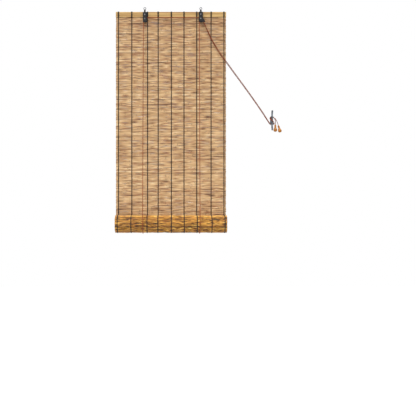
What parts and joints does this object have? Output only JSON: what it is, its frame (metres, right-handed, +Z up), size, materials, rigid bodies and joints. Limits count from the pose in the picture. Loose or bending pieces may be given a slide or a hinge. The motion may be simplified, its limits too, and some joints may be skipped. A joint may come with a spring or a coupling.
{
  "type": "reed roller blind",
  "caption": "Hanging reed mat on a head batten, rolled up from below by lift cords over pulleys, with pull cords tied off on a wall cleat.",
  "frame": {"origin": "midway between the centres of the two hanging eyes", "axes": "+X to the right, +Y towards the wall, +Z up"},
  "size_m": [0.9016, 0.1107, 1.229],
  "materials": {
    "reed": "satin",
    "batten": "satin",
    "string": "matte",
    "cord": "matte",
    "black_steel": "satin",
    "bright_steel": "satin",
    "pulley": "matte",
    "cleat_metal": "satin",
    "pull_wood": "gloss"
  },
  "bodies": {
    "head": {"head_batten": "batten", "head_bindings": "string", "bracket_left": "black_steel", "bracket_right": "black_steel", "eye_left": "bright_steel", "eye_right": "bright_steel", "axle_left": "bright_steel", "axle_right": "bright_steel", "bracket_screws": "bright_steel", "anchor_screws": "bright_steel", "mat_reeds": "reed", "mat_strings_front": "string", "mat_strings_back": "string", "lift_cord_left_front": "cord", "lift_cord_left_back": "cord", "lift_cord_right_front": "cord", "lift_cord_right_back": "cord", "anchor_loops": "cord", "pulley_wraps": "cord", "cross_cord": "cord", "pull_cord_front": "cord", "pull_cord_back": "cord", "cleat_winding": "cord", "tail_left": "cord", "tail_right": "cord", "cleat": "cleat_metal", "pull_left": "pull_wood", "pull_right": "pull_wood", "pull_knots": "cord"},
    "slings": {"sling_left": "cord", "sling_right": "cord"},
    "roll": {"roll_turns": "reed", "roll_strings": "string", "bottom_rod": "batten"},
    "pulley_left": {"pulley_left": "pulley"},
    "pulley_right_front": {"pulley_right_front": "pulley"},
    "pulley_right_back": {"pulley_right_back": "pulley"}
  },
  "joints": [
    {"name": "roll_lift", "type": "slide", "parent": "head", "child": "slings", "axis": [0, 0, 1], "range_m": [0, 0.98], "deforming": ["mat_reeds", "mat_strings_front", "mat_strings_back", "lift_cord_left_front", "lift_cord_right_front", "lift_cord_left_back", "lift_cord_right_back", "pull_cord_front", "pull_cord_back"]},
    {"name": "roll_spin", "type": "hinge", "parent": "slings", "child": "roll", "pos_m": [0, -0.0382, -1.16755], "axis": [-1, 0, 0], "range_deg": [0, 1081]},
    {"name": "pulley_left_spin", "type": "hinge", "parent": "head", "child": "pulley_left", "pos_m": [-0.152, 0, -0.056], "axis": [0, 1, 0], "range_deg": [0, 13870]},
    {"name": "pulley_right_front_spin", "type": "hinge", "parent": "head", "child": "pulley_right_front", "pos_m": [0.152, -0.0064, -0.056], "axis": [0, 1, 0], "range_deg": [0, 13870]},
    {"name": "pulley_right_back_spin", "type": "hinge", "parent": "head", "child": "pulley_right_back", "pos_m": [0.152, 0, -0.056], "axis": [0, 1, 0], "range_deg": [0, 13870]}
  ],
  "couplings": [
    {"joint": "roll_spin", "follows": "roll_lift", "rad_per_m": 19.234},
    {"joint": "pulley_left_spin", "follows": "roll_lift", "rad_per_m": 246.91},
    {"joint": "pulley_right_front_spin", "follows": "roll_lift", "rad_per_m": 246.91},
    {"joint": "pulley_right_back_spin", "follows": "roll_lift", "rad_per_m": 246.91}
  ]
}
